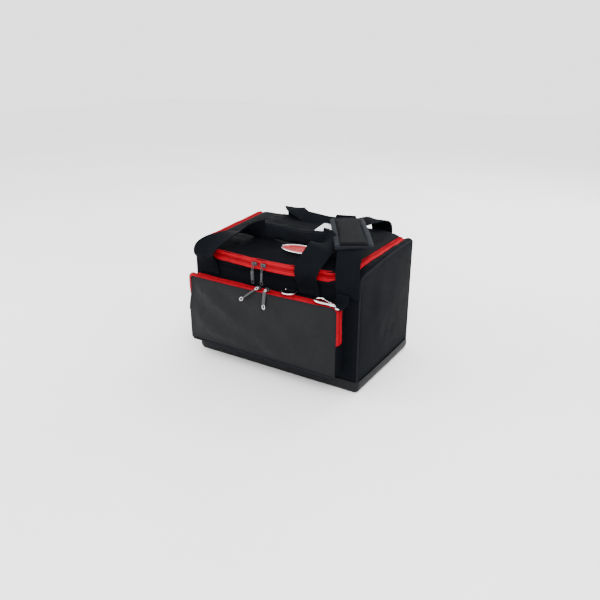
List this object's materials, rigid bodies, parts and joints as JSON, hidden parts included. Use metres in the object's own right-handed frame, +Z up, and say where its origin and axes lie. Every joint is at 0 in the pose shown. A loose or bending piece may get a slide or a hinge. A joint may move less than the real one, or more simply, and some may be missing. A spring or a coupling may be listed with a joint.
{
  "type": "soft carry bag",
  "caption": "Boxy soft carry bag with a zipped lid, a zipped front pocket, webbing carry handles and a padded shoulder strap.",
  "frame": {"origin": "centre of the underside of the base panel, on the surface that the bag stands on", "axes": "+Z up, +X to the right along the front, -Y towards the front pocket"},
  "size_m": [0.41, 0.3221, 0.303],
  "materials": {
    "body_fabric": "plain woven polyester, faint sheen",
    "coated_fabric": "coated woven polyester, satin sheen",
    "zip_tape": "red woven zip tape with moulded coil",
    "webbing": "ribbed polyester webbing",
    "bright_metal": "polished nickel plate",
    "dark_metal": "black enamelled zinc",
    "piping_cord": "black woven cord and piping",
    "black_plastic": "moulded black acetal",
    "pad_edge": "grey woven binding tape",
    "stiffener": "textured polyethylene board",
    "foam_liner": "grey lining over foam",
    "clear_vinyl": "clear soft vinyl, slightly creased",
    "badge_enamel": "red enamel, plain"
  },
  "bodies": {
    "bag": {"base_panel": "body_fabric", "base_board": "stiffener", "front_panel": "body_fabric", "rear_panel": "body_fabric", "left_end_panel": "body_fabric", "right_end_panel": "body_fabric", "left_piping": "piping_cord", "right_piping": "piping_cord", "rim_frame": "body_fabric", "lid_zip_lower_tape": "zip_tape", "lid_hinge_gusset": "body_fabric", "pocket_tray": "coated_fabric", "pocket_gusset": "body_fabric", "pocket_zip_inner_tape": "zip_tape", "front_handle_anchor_left": "webbing", "front_handle_anchor_right": "webbing", "rear_handle_anchor_left": "webbing", "rear_handle_anchor_right": "webbing", "shoulder_strap_rear": "webbing", "rear_hook_swivel": "bright_metal", "rear_snap_hook": "bright_metal", "rear_d_ring": "bright_metal", "rear_ring_tab": "webbing", "front_ring_tab": "webbing"},
    "lid": {"lid_zip_upper_tape": "zip_tape", "lid_liner": "foam_liner", "lid_panel": "body_fabric", "lid_centre_panel": "coated_fabric", "badge_rim": "bright_metal", "badge_plate": "badge_enamel", "card_window": "clear_vinyl", "shoulder_strap_front": "webbing", "shoulder_pad": "body_fabric", "pad_binding_left": "pad_edge", "pad_binding_right": "pad_edge", "shoulder_strap_over_lid": "webbing", "front_hook_swivel": "bright_metal"},
    "pocket_door": {"pocket_flap": "coated_fabric", "pocket_zip_outer_tape": "zip_tape"},
    "front_handle": {"front_handle_leg_left": "webbing", "front_handle_leg_right": "webbing", "front_grip_wrap": "body_fabric"},
    "rear_handle": {"rear_handle_leg_left": "webbing", "rear_handle_leg_right": "webbing", "rear_handle_grip": "webbing"},
    "strap_adjuster": {"strap_adjuster": "black_plastic"},
    "front_ring": {"front_d_ring": "bright_metal"},
    "front_hook": {"front_snap_hook": "bright_metal"},
    "front_gate": {"front_hook_gate": "bright_metal"},
    "rear_gate": {"rear_hook_gate": "bright_metal"},
    "lid_slider_left": {"lid_slider_left": "dark_metal"},
    "lid_slider_right": {"lid_slider_right": "dark_metal"},
    "lid_pull_left": {"lid_pull_left": "piping_cord"},
    "lid_pull_right": {"lid_pull_right": "piping_cord"},
    "pocket_slider_left": {"pocket_slider_left": "dark_metal"},
    "pocket_slider_right": {"pocket_slider_right": "dark_metal"},
    "pocket_pull_left": {"pocket_pull_left": "piping_cord"},
    "pocket_pull_right": {"pocket_pull_right": "piping_cord"}
  },
  "joints": [
    {"name": "lid_open", "type": "hinge", "parent": "bag", "child": "lid", "pos_m": [0, 0.1132, 0.25515], "axis": [-1, 0, 0], "range_deg": [0, 100], "deforming": ["front_handle_leg_left", "front_handle_leg_right", "front_grip_wrap", "rear_handle_leg_left", "rear_handle_leg_right", "rear_handle_grip"]},
    {"name": "front_handle_fold", "type": "hinge", "parent": "bag", "child": "front_handle", "pos_m": [0, -0.1306, 0.205], "axis": [1, 0, 0], "range_deg": [0, 175]},
    {"name": "rear_handle_fold", "type": "hinge", "parent": "bag", "child": "rear_handle", "pos_m": [0, 0.1306, 0.205], "axis": [-1, 0, 0], "range_deg": [0, 175]},
    {"name": "pocket_open", "type": "hinge", "parent": "bag", "child": "pocket_door", "pos_m": [-0.012, -0.1633, 0.1088], "axis": [1, 0, 0], "range_deg": [0, 120]},
    {"name": "lid_slider_left_travel", "type": "hinge", "parent": "bag", "child": "lid_slider_left", "pos_m": [-0.003, 0.8777, 0.3102], "axis": [0, -0.0718, 0.9974], "range_deg": [-4.5, 0]},
    {"name": "lid_slider_right_travel", "type": "hinge", "parent": "bag", "child": "lid_slider_right", "pos_m": [-0.003, 0.8777, 0.3102], "axis": [0, -0.0718, 0.9974], "range_deg": [0, 2.8]},
    {"name": "lid_pull_left_swing", "type": "hinge", "parent": "lid_slider_left", "child": "lid_pull_left", "pos_m": [-0.032, -0.147, 0.2315], "axis": [-1, 0, 0], "range_deg": [0, 60]},
    {"name": "lid_pull_right_swing", "type": "hinge", "parent": "lid_slider_right", "child": "lid_pull_right", "pos_m": [-0.01, -0.147, 0.2315], "axis": [-1, 0, 0], "range_deg": [0, 60]},
    {"name": "pocket_slider_left_travel", "type": "slide", "parent": "pocket_door", "child": "pocket_slider_left", "axis": [1, 0, 0], "range_m": [-0.13, 0]},
    {"name": "pocket_slider_right_travel", "type": "slide", "parent": "pocket_door", "child": "pocket_slider_right", "axis": [1, 0, 0], "range_m": [0, 0.014]},
    {"name": "pocket_pull_left_swing", "type": "hinge", "parent": "pocket_slider_left", "child": "pocket_pull_left", "pos_m": [-0.014, -0.1585, 0.1934], "axis": [-1, 0, 0], "range_deg": [0, 80]},
    {"name": "pocket_pull_right_swing", "type": "hinge", "parent": "pocket_slider_right", "child": "pocket_pull_right", "pos_m": [0.007, -0.1585, 0.1934], "axis": [-1, 0, 0], "range_deg": [0, 80]},
    {"name": "strap_adjust", "type": "slide", "parent": "bag", "child": "strap_adjuster", "axis": [0, 0, 1], "range_m": [-0.003, 0.006]},
    {"name": "front_ring_swing", "type": "hinge", "parent": "bag", "child": "front_ring", "pos_m": [0.052, -0.1324, 0.1936], "axis": [-1, 0, 0], "range_deg": [0, 30]},
    {"name": "front_hook_turn", "type": "hinge", "parent": "lid", "child": "front_hook", "pos_m": [0.168, -0.158, 0.194], "axis": [1, 0, 0], "range_deg": [0, 80]},
    {"name": "front_gate_press", "type": "hinge", "parent": "front_hook", "child": "front_gate", "pos_m": [0.153, -0.1518, 0.194], "axis": [0, 0, 1], "range_deg": [0, 18], "stiffness_Nm_per_rad": 0.02},
    {"name": "rear_gate_press", "type": "hinge", "parent": "bag", "child": "rear_gate", "pos_m": [0.03, 0.135, 0.194], "axis": [-1, 0, 0], "range_deg": [0, 18], "stiffness_Nm_per_rad": 0.02}
  ],
  "couplings": [
    {"joint": "front_handle_fold", "follows": "lid_open", "ratio": 1.7},
    {"joint": "rear_handle_fold", "follows": "lid_open", "ratio": 1.7}
  ]
}
